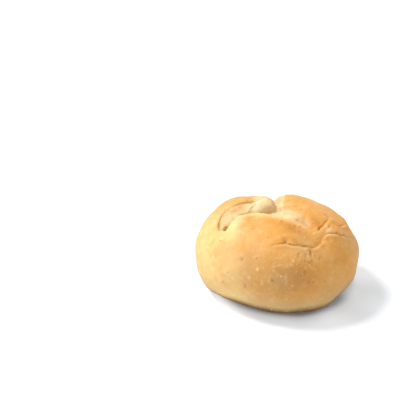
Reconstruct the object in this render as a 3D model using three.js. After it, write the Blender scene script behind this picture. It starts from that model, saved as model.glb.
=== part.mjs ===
// White bread roll: a round, slightly oval roll whose golden crust tore open along its top.
// A fold of pale dough lies in the tear and ends in a round knob.
// Millimetres, +Z up. The origin is the middle of the roll's bounding box on its flat base.
import * as THREE from "three";
import { mergeVertices } from "three/addons/utils/BufferGeometryUtils.js";

// The dome: an oval loaf, fuller than an ellipsoid, whose belly is cut off by the base
const LENGTH = 90.6;
const WIDTH = 77.0;
const TURN = -0.18;
const WAIST_HEIGHT = 18.2;
const CROWN_HEIGHT = 30.6;
const BELLY_DEPTH = 22.2;
const CROWN_FULLNESS = 2.58;
const BELLY_FULLNESS = 2.54;

// The tear, left to right along the top. Columns: x, y, half width, depth, width of the back wall
const TEAR = [
  [-30.9, -10.5, 1.5, 1.0, 2.0],
  [-29.1, -6.7, 3.5, 4.4, 2.0],
  [-25.0, 0.4, 4.9, 4.8, 2.0],
  [-15.6, 3.8, 5.3, 4.6, 2.0],
  [-5.2, 2.5, 5.7, 3.7, 3.5],
  [4.0, -1.7, 5.5, 3.2, 4.5],
  [11.6, -7.2, 4.0, 2.8, 4.0],
  [17.3, -12.1, 2.2, 1.8, 2.6],
  [22.3, -16.4, 1.0, 0.6, 2.0],
];
const TEAR_REACH = 16;
const TEAR_FADE = [3, 5];
const FRONT_WALL = 2.2;
const FRONT_LIP = { share: 0.19, setback: 2.2, width: 2.6 };
const BACK_LIP = { share: 0.10, setback: 2.0, width: 2.4 };

// Where the tear runs on over the back: a broad saddle and the notch in it.
// Columns: x, y, half width, depth
const SADDLE = [
  [-4.0, 6.0, 5.5, 1.0],
  [-2.0, 15.0, 7.5, 4.4],
  [-0.5, 23.0, 7.5, 4.2],
  [1.0, 31.0, 6.0, 1.6],
  [2.0, 38.0, 4.0, 0.3],
];
const NOTCH = [
  [-0.6, 9.0, 2.0, 0.6],
  [-1.2, 17.0, 2.2, 3.2],
  [-1.1, 24.0, 2.3, 3.6],
  [-0.8, 31.0, 2.3, 2.8],
  [0.0, 38.0, 2.0, 0.8],
];
const BACK_REACH = 16;
const BACK_FADE = [5, 6];

// The fold of dough that lies in the tear: two strands grown together, the first with a round end.
// Columns: x, y, depth of its axis, radius
const FOLD = [
  [
    [-30.2, -7.8, 2.6, 1.6],
    [-29.1, -4.9, 4.2, 3.0],
    [-25.4, -0.4, 5.0, 4.1],
    [-20.0, 1.6, 5.1, 4.2],
    [-14.6, 2.8, 4.8, 4.2],
    [-11.0, 4.8, 3.8, 4.5],
    [-8.2, 7.2, 2.7, 4.8],
    [-5.6, 9.0, 2.3, 4.9],
  ],
  [
    [-30.5, -6.7, 2.6, 2.0],
    [-29.6, -2.4, 3.8, 3.4],
    [-27.5, 2.8, 3.9, 3.8],
    [-23.8, 6.8, 3.8, 3.9],
    [-19.4, 7.6, 3.8, 3.9],
    [-13.5, 7.7, 3.8, 3.8],
    [-10.5, 8.0, 3.8, 3.8],
  ],
];
const FOLD_REACH = 14;
const FOLD_BLEND = 1.3;
const STRAND_BLEND = 2.2;

// Creases in the crust, each with a lip below it. Columns: x, y, half width, depth
const CREASES = [
  // under the front lobe, then up over the right shoulder
  [
    [-6.1, -27.3, 1.0, 0.1],
    [-2.0, -26.4, 1.0, 0.4],
    [2.6, -25.8, 1.1, 0.8],
    [8.5, -26.5, 1.1, 0.7],
    [15.8, -26.1, 1.1, 0.6],
    [19.4, -25.2, 1.3, 0.5],
    [22.6, -21.4, 1.6, 0.5],
    [24.4, -17.2, 1.2, 0.5],
    [28.3, -14.8, 1.1, 0.7],
    [35.0, -11.8, 1.1, 0.6],
    [41.4, -6.8, 1.0, 0.2],
  ],
  // between the back lobe and the mound on the right
  [
    [20.4, -15.8, 1.1, 0.5],
    [21.7, -14.2, 1.1, 1.3],
    [24.5, -9.6, 1.1, 1.3],
    [27.5, -3.4, 1.1, 0.4],
    [28.9, 0.9, 1.1, 0.1],
  ],
  // across the mound on the right
  [
    [28.3, -4.6, 1.0, 0.3],
    [32.0, -6.4, 1.0, 0.8],
    [35.6, -3.0, 1.0, 0.5],
    [37.5, 1.3, 1.0, 0.2],
  ],
];
const CREASE_REACH = 9;
const CREASE_FADE = [3, 3];
const CREASE_LIP = { share: 0.6, setback: 2.2, width: 2.0 };
const CREASE_DROP = { share: 0.6, near: 0.8, far: 4.5 };

// Low bulges and hollows of the whole body. Columns: x, y, z, height, radius
const SWELLS = [
  [33, -22, 28, 0.8, 11],
  [28.5, -10.5, 43, 0.7, 4],
  [14, 6, 47, 0.3, 11],
  [12, -20, 45, 0.4, 7],
  [-22.5, -9, 45, 0.9, 4.5],
  [-12, 16, 46, -0.8, 9],
  [-8, 24, 44, -1.2, 10],
  [-20, 17, 44, 1.1, 7],
  [7, 20, 45, 0.9, 6],
  [-24, -31, 7, -1.6, 14],
  [-10, -37, 8, -0.6, 10],
  [33, -21, 7, -0.5, 10],
  [-38, -16, 12, 0.6, 7],
  [-45, -1, 17, -0.4, 8],
  [-44, 0, 28, 0.6, 7],
  [45, -2, 22, 0.3, 7],
  [44, -9, 18, -0.5, 4.5],
  [40, -19, 12, -0.8, 4.5],
  [36, -24.5, 13, -1.1, 4.5],
  [37, 7, 40, 0.9, 4.5],
  [42, 4, 34, -0.9, 4.5],
  [42, 11, 29, -0.8, 8],
  [2, -34, 1, 0.8, 13],
  [24, -29, 1, 0.5, 9],
  [-28.3, -9, 42, -1.2, 2],
];

// Gentle waves that keep the skin from being even: height, then radians per mm on x, y, z, and phase
const WAVES = [
  [0.30, 0.11, 0.05, 0.07, 0.4],
  [0.28, -0.06, 0.13, 0.05, 1.9],
  [0.22, 0.04, -0.09, 0.17, 3.1],
  [0.20, 0.21, 0.12, -0.08, 0.9],
  [0.16, -0.17, 0.19, 0.11, 5.0],
  [0.12, 0.31, -0.24, 0.15, 2.2],
  [0.10, 0.22, 0.33, 0.25, 4.1],
];

// The mesh: rays from a hub in the middle, then edges halved where they are too long for their place.
// Edges narrower than the least spread, in radians at the hub, stay as they are.
const RAY_DETAIL = 10;
const EDGE_ON_CRUST = 4.8;
const EDGE_AT_BASE = 3.0;
const BASE_BAND = 1.6;
const EDGE_AT_WALL = 1.4;
const WALL_BAND = 1.0;
const GROWTH_INSIDE = 0.2;
const GROWTH_OUTSIDE = 0.6;
const LEAST_SPREAD = 0.03;
const HALVING_ROUNDS = 18;
const RAY_START = 62;
const RAY_STRIDE = 0.7;
const HALVINGS = 30;
const PATH_STEP = 1.2;
const SLOPE_STEP = 0.05;
const MERGE_GAP = 1e-5;

const HUB = new THREE.Vector3(0, 0, WAIST_HEIGHT);
const COS_TURN = Math.cos(TURN);
const SIN_TURN = Math.sin(TURN);

function bell(x) {
  return Math.exp(-x * x);
}

function ramp(x) {
  const t = THREE.MathUtils.clamp(x, 0, 1);
  return t * t * (3 - 2 * t);
}

// 0 at both ends of a length, 1 in between
function fade(along, length, [first, last]) {
  return ramp(along / first) * ramp((length - along) / last);
}

// Smooth union of two distances
function blend(a, b, width) {
  const h = THREE.MathUtils.clamp(0.5 + (0.5 * (b - a)) / width, 0, 1);
  return b * (1 - h) + a * h - width * h * (1 - h);
}

// Signed distance from the plain dome, negative inside
function dome(p) {
  const x = (p.x * COS_TURN + p.y * SIN_TURN) / (LENGTH / 2);
  const y = (-p.x * SIN_TURN + p.y * COS_TURN) / (WIDTH / 2);
  const z = p.z - WAIST_HEIGHT;
  const fullness = z > 0 ? CROWN_FULLNESS : BELLY_FULLNESS;
  const level = Math.abs(z) / (z > 0 ? CROWN_HEIGHT : BELLY_DEPTH);
  const size = (Math.hypot(x, y) ** fullness + level ** fullness) ** (1 / fullness);
  return p.distanceTo(HUB) * (1 - 1 / Math.max(size, 1e-6));
}

// The point of the dome above a place in plan
function onDome(x, y) {
  const p = new THREE.Vector3(x, y, 0);
  let low = WAIST_HEIGHT;
  let high = WAIST_HEIGHT + CROWN_HEIGHT + 1;
  for (let i = 0; i < HALVINGS; i += 1) {
    p.z = (low + high) / 2;
    if (dome(p) < 0) low = p.z;
    else high = p.z;
  }
  return p;
}

function domeNormal(p) {
  const slope = (dx, dy, dz) =>
    dome(p.clone().add(new THREE.Vector3(dx, dy, dz))) - dome(p.clone().sub(new THREE.Vector3(dx, dy, dz)));
  return new THREE.Vector3(
    slope(SLOPE_STEP, 0, 0), slope(0, SLOPE_STEP, 0), slope(0, 0, SLOPE_STEP)).normalize();
}

// Rows in between the given ones, by a Catmull-Rom curve through every column
function smoothRows(rows) {
  const mirrored = (a, b) => a.map((v, i) => 2 * v - b[i]);
  const all = [mirrored(rows[0], rows[1]), ...rows, mirrored(rows.at(-1), rows.at(-2))];
  const out = [];
  for (let i = 1; i < all.length - 2; i += 1) {
    const [a, b, c, d] = all.slice(i - 1, i + 3);
    const steps = Math.max(1, Math.ceil(Math.hypot(c[0] - b[0], c[1] - b[1]) / PATH_STEP));
    for (let k = 0; k < steps; k += 1) {
      const t = k / steps;
      out.push(b.map((_, j) => 0.5 * (2 * b[j] + (c[j] - a[j]) * t
        + (2 * a[j] - 5 * b[j] + 4 * c[j] - d[j]) * t ** 2
        + (3 * b[j] - 3 * c[j] + d[j] - a[j]) * t ** 3)));
    }
  }
  out.push(all.at(-2));
  return out;
}

// A line laid on the dome: its points, the dome's normals there, the distance along it, and the row's values
function layOnDome(rows, reach) {
  const stations = smoothRows(rows).map(([x, y, ...values]) => {
    const point = onDome(x, y);
    return { point, normal: domeNormal(point), values, along: 0 };
  });
  const box = new THREE.Box3();
  stations.forEach((station, i) => {
    const before = stations[Math.max(i - 1, 0)];
    const after = stations[Math.min(i + 1, stations.length - 1)];
    station.side = station.normal.clone().cross(after.point.clone().sub(before.point).normalize());
    station.along = before.along + station.point.distanceTo(before.point);
    box.expandByPoint(station.point);
  });
  return { stations, reach, box: box.expandByScalar(reach), length: stations.at(-1).along };
}

// Where a point stands beside such a line, or null where it is out of reach
function beside(line, p) {
  if (!line.box.containsPoint(p)) return null;
  let best = line.reach ** 2;
  let found = null;
  const step = new THREE.Vector3();
  const off = new THREE.Vector3();
  for (let i = 0; i < line.stations.length - 1; i += 1) {
    const a = line.stations[i];
    const b = line.stations[i + 1];
    step.subVectors(b.point, a.point);
    off.subVectors(p, a.point);
    const t = THREE.MathUtils.clamp(off.dot(step) / step.lengthSq(), 0, 1);
    off.addScaledVector(step, -t);
    if (off.lengthSq() < best) {
      best = off.lengthSq();
      found = { a, b, t, off: off.clone() };
    }
  }
  if (!found) return null;
  const { a, b, t, off: away } = found;
  const side = a.side.clone().lerp(b.side, t);
  return {
    across: away.dot(side),
    along: THREE.MathUtils.lerp(a.along, b.along, t),
    values: a.values.map((v, i) => THREE.MathUtils.lerp(v, b.values[i], t)),
  };
}

const tear = layOnDome(TEAR, TEAR_REACH);
const saddle = layOnDome(SADDLE, BACK_REACH);
const notch = layOnDome(NOTCH, BACK_REACH);
const creases = CREASES.map((rows) => layOnDome(rows, CREASE_REACH));
const strands = FOLD.map((rows) => layOnDome(rows, FOLD_REACH).stations.map((station) => {
  const [drop, radius] = station.values;
  return { centre: station.point.clone().addScaledVector(station.normal, -drop), radius };
}));

// Height of the skin over the dome in the tear, with the lips on both sides of it
function tearRelief(p) {
  const at = beside(tear, p);
  if (!at) return 0;
  const [half, depth, backWall] = at.values;
  const walls = ramp((at.across + half) / FRONT_WALL + 0.5) * ramp((half - at.across) / backWall + 0.5);
  const front = FRONT_LIP.share * bell((at.across + half + FRONT_LIP.setback) / FRONT_LIP.width);
  const back = BACK_LIP.share * bell((at.across - half - BACK_LIP.setback) / BACK_LIP.width);
  return depth * fade(at.along, tear.length, TEAR_FADE) * (front + back - walls);
}

function backRelief(p) {
  let height = 0;
  for (const line of [saddle, notch]) {
    const at = beside(line, p);
    if (at) height -= at.values[1] * fade(at.along, line.length, BACK_FADE) * bell(at.across / at.values[0]);
  }
  return height;
}

function creaseRelief(p) {
  let height = 0;
  for (const line of creases) {
    const at = beside(line, p);
    if (!at) continue;
    const [half, depth] = at.values;
    const lip = CREASE_LIP.share * bell((at.across + CREASE_LIP.setback) / CREASE_LIP.width);
    const dropWidth = at.across > 0 ? CREASE_DROP.far : CREASE_DROP.near;
    const drop = CREASE_DROP.share * bell(at.across / dropWidth);
    height += depth * fade(at.along, line.length, CREASE_FADE) * (lip - drop - bell(at.across / half));
  }
  return height;
}

function swellRelief(p) {
  let height = 0;
  for (const [x, y, z, rise, radius] of SWELLS) {
    height += rise * bell(Math.hypot(p.x - x, p.y - y, p.z - z) / radius);
  }
  return height;
}

function waveRelief(p) {
  let height = 0;
  for (const [rise, x, y, z, phase] of WAVES) height += rise * Math.sin(p.x * x + p.y * y + p.z * z + phase);
  return height;
}

// Distance from one strand: a chain of cones round its axis
function strandDistance(p, strand) {
  let nearest = Infinity;
  for (let i = 0; i < strand.length - 1; i += 1) {
    const a = strand[i];
    const b = strand[i + 1];
    const step = b.centre.clone().sub(a.centre);
    const off = p.clone().sub(a.centre);
    const t = THREE.MathUtils.clamp(off.dot(step) / step.lengthSq(), 0, 1);
    const radius = THREE.MathUtils.lerp(a.radius, b.radius, t);
    nearest = Math.min(nearest, off.addScaledVector(step, -t).length() - radius);
  }
  return nearest;
}

function foldDistance(p) {
  const [first, second] = strands.map((strand) => strandDistance(p, strand));
  return blend(first, second, STRAND_BLEND);
}

// Signed distance from the roll's skin, negative inside
function skin(p) {
  const torn = dome(p) - waveRelief(p) - tearRelief(p) - backRelief(p);
  return blend(torn, foldDistance(p), FOLD_BLEND) - creaseRelief(p) - swellRelief(p);
}

// The outermost place on the skin that a ray from the hub meets, and never below the base
function rayEnd(direction) {
  const p = new THREE.Vector3();
  const at = (distance) => skin(p.copy(HUB).addScaledVector(direction, distance));
  let inside = RAY_START;
  while (at(inside) > 0) inside -= RAY_STRIDE;
  let outside = inside + RAY_STRIDE;
  for (let i = 0; i < HALVINGS; i += 1) {
    const middle = (inside + outside) / 2;
    if (at(middle) > 0) outside = middle;
    else inside = middle;
  }
  const toBase = direction.z < 0 ? -HUB.z / direction.z : Infinity;
  p.copy(HUB).addScaledVector(direction, Math.min(inside, toBase));
  if (toBase < inside) p.z = 0;
  return p;
}

// How long an edge may be at a place: shortest at the walls of the tear and in the creases
function longestEdge(p) {
  let longest = p.z > 0 && p.z < BASE_BAND ? EDGE_AT_BASE : EDGE_ON_CRUST;
  for (const line of [tear, notch, ...creases]) {
    const at = beside(line, p);
    if (!at) continue;
    const beyond = Math.abs(at.across) - at.values[0];
    const growth = beyond < 0 ? GROWTH_INSIDE : GROWTH_OUTSIDE;
    longest = Math.min(longest, EDGE_AT_WALL + growth * Math.max(0, Math.abs(beyond) - WALL_BAND));
  }
  return longest;
}

// Every edge that is too long for its place, the worst first, with the triangles on both sides of it
function longEdges(points, triangles, known) {
  const edges = new Map();
  triangles.forEach((corners, t) => {
    corners.forEach((a, i) => {
      const b = corners[(i + 1) % 3];
      const name = a < b ? `${a} ${b}` : `${b} ${a}`;
      if (edges.has(name)) edges.get(name).sides.push(t);
      else edges.set(name, { name, ends: [a, b], sides: [t] });
    });
  });
  for (const edge of edges.values()) {
    if (!known.has(edge.name)) {
      const [a, b] = edge.ends.map((end) => points[end]);
      const spread = a.clone().sub(HUB).angleTo(b.clone().sub(HUB));
      known.set(edge.name, spread < LEAST_SPREAD ? 0 : a.distanceTo(b) / longestEdge(a.clone().lerp(b, 0.5)));
    }
    edge.excess = known.get(edge.name);
  }
  return [...edges.values()].filter((edge) => edge.excess > 1).sort((a, b) => b.excess - a.excess);
}

// One round of halving. A triangle takes part once in a round, and only by its worst edge.
function halveEdges(points, triangles, known) {
  const busy = new Set();
  const worst = longEdges(points, triangles, known);
  for (const { ends: [a, b], sides } of worst) {
    const free = sides.every((t) => !busy.has(t));
    sides.forEach((t) => busy.add(t));
    if (!free) continue;
    const middle = points[a].clone().add(points[b]).multiplyScalar(0.5).sub(HUB).normalize();
    const added = points.push(rayEnd(middle)) - 1;
    for (const t of sides) {
      const corners = triangles[t];
      triangles[t] = corners.map((corner) => (corner === b ? added : corner));
      triangles.push(corners.map((corner) => (corner === a ? added : corner)));
    }
  }
}

function rollGeometry() {
  const sphere = new THREE.IcosahedronGeometry(1, RAY_DETAIL);
  sphere.deleteAttribute("normal");
  sphere.deleteAttribute("uv");
  const { index, attributes: { position } } = mergeVertices(sphere, MERGE_GAP);
  const points = Array.from({ length: position.count }, (_, i) =>
    rayEnd(new THREE.Vector3().fromBufferAttribute(position, i).normalize()));
  const triangles = Array.from({ length: index.count / 3 }, (_, t) =>
    [0, 1, 2].map((i) => index.getX(3 * t + i)));
  const known = new Map();
  for (let round = 0; round < HALVING_ROUNDS; round += 1) halveEdges(points, triangles, known);
  const geometry = new THREE.BufferGeometry().setFromPoints(points);
  geometry.setIndex(triangles.flat());
  geometry.computeBoundingBox();
  const middle = geometry.boundingBox.getCenter(new THREE.Vector3());
  geometry.translate(-middle.x, -middle.y, 0);
  geometry.computeVertexNormals();
  return geometry;
}

const crust = new THREE.MeshStandardMaterial({ color: 0xe2ad6b, roughness: 0.72, metalness: 0 });
const roll = new THREE.Mesh(rollGeometry(), crust);
roll.name = "roll";

const group = new THREE.Group();
group.add(roll);
export default group;
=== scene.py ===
"""White bread roll: golden crust torn open along the top, with a fold of pale dough in the tear."""
import math

import bpy
import numpy as np
from mathutils import Matrix, Vector, kdtree, noise


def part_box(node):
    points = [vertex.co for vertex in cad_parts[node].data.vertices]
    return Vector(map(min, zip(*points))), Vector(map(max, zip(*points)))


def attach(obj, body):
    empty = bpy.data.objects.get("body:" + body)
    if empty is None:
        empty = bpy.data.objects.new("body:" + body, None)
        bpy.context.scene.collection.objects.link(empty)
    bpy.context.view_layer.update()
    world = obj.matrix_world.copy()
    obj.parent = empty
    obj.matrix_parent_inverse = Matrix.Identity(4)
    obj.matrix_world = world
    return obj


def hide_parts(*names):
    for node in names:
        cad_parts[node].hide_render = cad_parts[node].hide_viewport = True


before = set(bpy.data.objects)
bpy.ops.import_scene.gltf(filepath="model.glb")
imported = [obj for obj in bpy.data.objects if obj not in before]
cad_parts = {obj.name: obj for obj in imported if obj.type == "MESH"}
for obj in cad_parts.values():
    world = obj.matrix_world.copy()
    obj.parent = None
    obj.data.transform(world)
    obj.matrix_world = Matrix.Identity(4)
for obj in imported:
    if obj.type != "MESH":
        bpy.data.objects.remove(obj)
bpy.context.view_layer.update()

MM = 0.001

# The dome, in millimetres, as in the part's source
LENGTH, WIDTH, TURN = 90.6, 77.0, -0.18
WAIST_HEIGHT, CROWN_HEIGHT, BELLY_DEPTH = 18.2, 30.6, 22.2
CROWN_FULLNESS, BELLY_FULLNESS = 2.58, 2.54
HUB = np.array([0.0, 0.0, WAIST_HEIGHT])

# The tear. Columns: x, y, half width, depth, width of the back wall
TEAR = [
    (-30.9, -10.5, 1.5, 1.0, 1.4),
    (-29.1, -6.7, 3.5, 4.4, 1.3),
    (-25.0, 0.4, 4.9, 4.8, 1.4),
    (-15.6, 3.8, 5.3, 4.6, 1.8),
    (-5.2, 2.5, 5.7, 3.7, 3.5),
    (4.0, -1.7, 5.5, 3.2, 4.5),
    (11.6, -7.2, 4.0, 2.8, 4.0),
    (17.3, -12.1, 2.2, 1.8, 2.6),
    (22.3, -16.4, 1.0, 0.6, 1.4),
]
# How far beside the tear its relief reaches, how long its ends are, the width of its front wall,
# and its lips: their height as a share of the depth, how far back they are and their width
TEAR_REACH = 16
TEAR_FADE = (3, 5)
FRONT_WALL = 1.7
FRONT_LIP_SHARE, FRONT_LIP_SETBACK, FRONT_LIP_WIDTH = 0.19, 2.2, 2.6
BACK_LIP_SHARE, BACK_LIP_SETBACK, BACK_LIP_WIDTH = 0.10, 2.0, 2.4

# The saddle and the notch over the back. Columns: x, y, half width, depth
SADDLE = [
    (-4.0, 6.0, 5.5, 1.0),
    (-2.0, 15.0, 7.5, 4.4),
    (-0.5, 23.0, 7.5, 4.2),
    (1.0, 31.0, 6.0, 1.6),
    (2.0, 38.0, 4.0, 0.3),
]
NOTCH = [
    (-0.6, 9.0, 2.0, 0.6),
    (-1.2, 17.0, 2.2, 3.2),
    (-1.1, 24.0, 2.3, 3.6),
    (-0.8, 31.0, 2.3, 2.8),
    (0.0, 38.0, 2.0, 0.8),
]
BACK_REACH = 16
BACK_FADE = (5, 6)

# The fold of dough in the tear: two strands grown together, the first with a round end.
# Columns: x, y, depth of its axis, radius
FOLD = [
    [
        (-30.2, -7.8, 2.6, 1.6),
        (-29.1, -4.9, 4.2, 3.0),
        (-25.4, -0.4, 5.0, 4.1),
        (-20.0, 1.6, 5.1, 4.2),
        (-14.6, 2.8, 4.8, 4.2),
        (-11.0, 4.8, 3.8, 4.5),
        (-8.2, 7.2, 2.7, 4.8),
        (-5.6, 9.0, 2.3, 4.9),
    ],
    [
        (-30.5, -6.7, 2.6, 2.0),
        (-29.6, -2.4, 3.8, 3.4),
        (-27.5, 2.8, 3.9, 3.8),
        (-23.8, 6.8, 3.8, 3.9),
        (-19.4, 7.6, 3.8, 3.9),
        (-13.5, 7.7, 3.8, 3.8),
        (-10.5, 8.0, 3.8, 3.8),
    ],
]
FOLD_REACH = 14
FOLD_BLEND = 0.6
STRAND_BLEND = 2.2

# Creases in the crust. Columns: x, y, half width, depth
CREASES = [
    # under the front lobe, then up over the right shoulder
    [
        (-6.1, -27.3, 0.4, 0.1),
        (-2.0, -26.4, 0.4, 0.4),
        (2.6, -25.8, 0.45, 0.8),
        (8.5, -26.5, 0.5, 0.7),
        (15.8, -26.1, 0.5, 0.6),
        (19.4, -25.2, 1.0, 0.5),
        (22.6, -21.4, 1.5, 0.5),
        (24.4, -17.2, 0.9, 0.5),
        (28.3, -14.8, 0.5, 0.6),
        (35.0, -11.8, 0.5, 0.6),
        (41.4, -6.8, 0.4, 0.2),
    ],
    # between the back lobe and the mound on the right
    [
        (20.4, -15.8, 0.5, 0.5),
        (21.7, -14.2, 0.5, 1.2),
        (24.5, -9.6, 0.5, 1.2),
        (27.5, -3.4, 0.5, 0.4),
        (28.9, 0.9, 0.5, 0.1),
    ],
    # across the mound on the right
    [
        (28.3, -4.6, 0.4, 0.3),
        (32.0, -6.4, 0.5, 0.8),
        (35.6, -3.0, 0.4, 0.5),
        (37.5, 1.3, 0.4, 0.2),
    ],
    # a short crack that runs down from the first crease
    [
        (16.1, -25.6, 0.4, 0.3),
        (16.5, -27.6, 0.4, 0.6),
        (16.9, -30.2, 0.4, 0.2),
    ],
]
# The lip on one side of a crease, and the lower skin on its two sides, as for the tear
CREASE_REACH = 9
CREASE_FADE = (3, 3)
CREASE_LIP_SHARE, CREASE_LIP_SETBACK, CREASE_LIP_WIDTH = 0.7, 1.6, 1.3
CREASE_DROP_SHARE, CREASE_DROP_NEAR, CREASE_DROP_FAR = 0.6, 0.8, 4.5
CREASE_SHARPNESS = 1.3
# Columns: width, radians per mm, phase
CREASE_WOBBLE = [(0.22, 1.1, 0.0), (0.14, 2.3, 1.0)]

# Low bulges and hollows. Columns: x, y, z, height, radius
SWELLS = [
    (33, -22, 28, 0.8, 11),
    (28.5, -10.5, 43, 0.7, 4),
    (14, 6, 47, 0.3, 11),
    (12, -20, 45, 0.4, 7),
    (-22.5, -9, 45, 0.9, 4.5),
    (-12, 16, 46, -0.8, 9),
    (-8, 24, 44, -1.2, 10),
    (-20, 17, 44, 1.1, 7),
    (7, 20, 45, 0.9, 6),
    (-24, -31, 7, -1.6, 14),
    (-10, -37, 8, -0.6, 10),
    (33, -21, 7, -0.5, 10),
    (-38, -16, 12, 0.6, 7),
    (-45, -1, 17, -0.4, 8),
    (-44, 0, 28, 0.6, 7),
    (45, -2, 22, 0.3, 7),
    (44, -9, 18, -0.5, 4.5),
    (40, -19, 12, -0.8, 4.5),
    (36, -24.5, 13, -1.1, 4.5),
    (37, 7, 40, 0.9, 4.5),
    (42, 4, 34, -0.9, 4.5),
    (42, 11, 29, -0.8, 8),
    (2, -34, 1, 0.8, 13),
    (24, -29, 1, 0.5, 9),
]
# Dents in the torn dough. Columns: x, y, z, depth, radius
DENTS = [
    (-28.3, -9.0, 42.0, 1.6, 1.4),
    (11.0, -4.5, 45.5, 0.6, 1.4),
]
DENT_SQUEEZE = (1, 1, 0.4)

# Gentle waves: height, then radians per mm on x, y, z, and phase
WAVES = [
    (0.30, 0.11, 0.05, 0.07, 0.4),
    (0.28, -0.06, 0.13, 0.05, 1.9),
    (0.22, 0.04, -0.09, 0.17, 3.1),
    (0.20, 0.21, 0.12, -0.08, 0.9),
    (0.16, -0.17, 0.19, 0.11, 5.0),
    (0.12, 0.31, -0.24, 0.15, 2.2),
    (0.10, 0.22, 0.33, 0.25, 4.1),
]

# Mesh, in millimetres: the lattice's cell, cells in a block, and how near the skin a block is worked out
CELL = 0.56
BLOCK = 6
BLOCK_DIAGONAL, BLOCK_MARGIN = 1.75, 2
# Distances given to places that are far from the skin, or far from a strand of the fold
OFF_SKIN, OFF_STRAND = 9.0, 99.0
# Room for the lattice round the dome, on x, y and z, on its low and its high side
LOW_ROOM, HIGH_ROOM = (4, 5, 3), (4, 5, 6)
# Evening out: rounds that relax the quads, rounds after them, and limits for the step onto the skin
RELAX_ROUNDS, LAST_ROUNDS, RELAX_SHARE = 3, 2, 0.5
LEAST_SLOPE_SQUARE, LARGEST_STEP = 0.15, 0.6
# Spacing of the points of a line, step for a gradient, and rounds of the search for the dome's height
PATH_STEP = 1.2
SLOPE_STEP = 0.04
HALVINGS = 40

# The photograph's view
PHOTO_SIZE = 400
FOCAL_PX = 1400
PX_PER_MM = 1.80
VIEW_DOWN = math.radians(34)
AIM_PX = (277, 253)
AIM_MM = (0.6, 0.0, 20.7)
SENSOR_MM = 36


def ramp(x):
    """0 below 0, 1 above 1, and smooth in between."""
    t = np.clip(x, 0, 1)
    return t * t * (3 - 2 * t)


def soft_step(x, width):
    """0 well below zero, 1 well above it, and smooth over a width in between."""
    return ramp(x / width + 0.5)


def bell(x):
    return np.exp(-x * x)


def fade(along, length, ends):
    """0 at both ends of a length, 1 in between."""
    return ramp(along / ends[0]) * ramp((length - along) / ends[1])


def blend(a, b, width):
    """Smooth union of two distances."""
    h = np.clip(0.5 + 0.5 * (b - a) / width, 0, 1)
    return b * (1 - h) + a * h - width * h * (1 - h)


def dome(p):
    """Signed distance from the plain dome, negative inside."""
    x = (p[:, 0] * math.cos(TURN) + p[:, 1] * math.sin(TURN)) / (LENGTH / 2)
    y = (-p[:, 0] * math.sin(TURN) + p[:, 1] * math.cos(TURN)) / (WIDTH / 2)
    z = p[:, 2] - WAIST_HEIGHT
    fullness = np.where(z > 0, CROWN_FULLNESS, BELLY_FULLNESS)
    level = np.abs(z) / np.where(z > 0, CROWN_HEIGHT, BELLY_DEPTH)
    size = (np.hypot(x, y) ** fullness + level ** fullness) ** (1 / fullness)
    return np.linalg.norm(p - HUB, axis=1) * (1 - 1 / np.maximum(size, 1e-6))


def slope(field, p, values):
    """Gradient of a field whose values at p are known."""
    steps = np.eye(3) * SLOPE_STEP
    return np.column_stack([(field(p + step) - values) / SLOPE_STEP for step in steps])


def on_dome(xy):
    """Points of the dome above places in plan, and its normals there."""
    low = np.full(len(xy), WAIST_HEIGHT)
    high = low + CROWN_HEIGHT + 1
    for _ in range(HALVINGS):
        middle = (low + high) / 2
        inside = dome(np.column_stack([xy, middle])) < 0
        low = np.where(inside, middle, low)
        high = np.where(inside, high, middle)
    p = np.column_stack([xy, low])
    normal = slope(dome, p, dome(p))
    return p, normal / np.linalg.norm(normal, axis=1)[:, None]


def smooth_rows(rows):
    """Rows in between the given ones, by a Catmull-Rom curve through every column."""
    rows = np.array(rows, float)
    rows = np.vstack([2 * rows[0] - rows[1], rows, 2 * rows[-1] - rows[-2]])
    out = []
    for a, b, c, d in zip(rows, rows[1:], rows[2:], rows[3:]):
        steps = max(1, math.ceil(math.dist(b[:2], c[:2]) / PATH_STEP))
        second, third = 2 * a - 5 * b + 4 * c - d, 3 * b - 3 * c + d - a
        for t in np.arange(steps) / steps:
            out.append(0.5 * (2 * b + (c - a) * t + second * t ** 2 + third * t ** 3))
    out.append(rows[-2])
    return np.array(out)


def near_line(p, points, reach):
    """Which points are in a box round a line."""
    low, high = points.min(0) - reach, points.max(0) + reach
    return np.nonzero(((p > low) & (p < high)).all(1))[0]


def beside_segment(q, a, b):
    """How far along a segment each point is, as a share, and the square of its distance from it."""
    share = np.clip((q - a) @ (b - a) / ((b - a) @ (b - a)), 0, 1)
    off = q - a - share[:, None] * (b - a)
    return share, np.einsum("ij,ij->i", off, off)


class Line:
    """A line laid on the dome, with values that change along it."""

    def __init__(self, rows, reach):
        rows = smooth_rows(rows)
        self.points, self.normals = on_dome(rows[:, :2])
        self.values = rows[:, 2:]
        self.reach = reach
        run = np.gradient(self.points, axis=0)
        run /= np.linalg.norm(run, axis=1)[:, None]
        self.sides = np.cross(self.normals, run)
        gaps = np.linalg.norm(np.diff(self.points, axis=0), axis=1)
        self.along = np.concatenate([[0], np.cumsum(gaps)])
        self.length = self.along[-1]

    def beside(self, p):
        """Which points are in reach, how far across and along the line each is, and the values there."""
        near = near_line(p, self.points, self.reach)
        q = p[near]
        best = np.full(len(q), float(self.reach) ** 2)
        part = np.zeros(len(q), int)
        share = np.zeros(len(q))
        for i, (a, b) in enumerate(zip(self.points, self.points[1:])):
            t, square = beside_segment(q, a, b)
            closer = square < best
            best[closer], part[closer], share[closer] = square[closer], i, t[closer]
        found = best < self.reach ** 2
        near, q, part, share = near[found], q[found], part[found], share[found]

        def between(rows):
            weight = share.reshape((-1,) + (1,) * (rows.ndim - 1))
            return rows[part] * (1 - weight) + rows[part + 1] * weight

        across = ((q - between(self.points)) * between(self.sides)).sum(1)
        return near, across, between(self.along), between(self.values).T


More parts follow.
